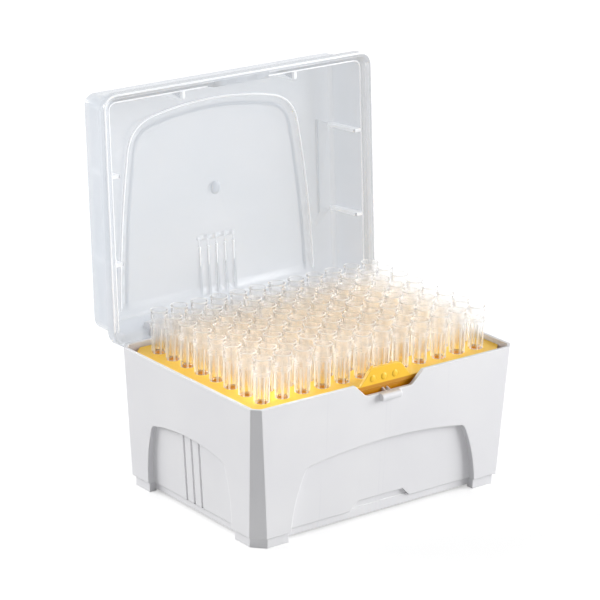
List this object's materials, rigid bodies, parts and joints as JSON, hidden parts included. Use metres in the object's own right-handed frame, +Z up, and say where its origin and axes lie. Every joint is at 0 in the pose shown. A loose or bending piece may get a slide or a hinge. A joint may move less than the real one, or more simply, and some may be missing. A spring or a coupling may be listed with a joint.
{
  "type": "pipette tip box",
  "caption": "Hinged laboratory box whose deck plate holds a grid of upright pipette tips, with a clear lid that lies back on its stop.",
  "frame": {"origin": "on the ground, under the middle of the tip grid", "axes": "+X along the long side of the box, -Y the front with the latch notch, +Y the hinge side, +Z up"},
  "size_m": [0.1238, 0.1137, 0.1472],
  "materials": {
    "base_plastic": "satin moulded polypropylene",
    "deck_plastic": "satin moulded polypropylene",
    "lid_plastic": "natural translucent polypropylene",
    "tip_plastic": "clear polypropylene"
  },
  "bodies": {
    "box": {"base": "base_plastic", "tray": "deck_plastic", "tips_column_01": "tip_plastic", "tips_column_02": "tip_plastic", "tips_column_03": "tip_plastic", "tips_column_04": "tip_plastic", "tips_column_05": "tip_plastic", "tips_column_06": "tip_plastic", "tips_column_07": "tip_plastic", "tips_column_08": "tip_plastic", "tips_column_09": "tip_plastic", "tips_column_10": "tip_plastic", "tips_column_11": "tip_plastic", "tips_column_12": "tip_plastic"},
    "lid": {"lid": "lid_plastic"}
  },
  "joints": [
    {"name": "lid_hinge", "type": "hinge", "parent": "box", "child": "lid", "pos_m": [0, 0.04716, 0.056], "axis": [1, 0, 0], "range_deg": [0, 94]}
  ]
}
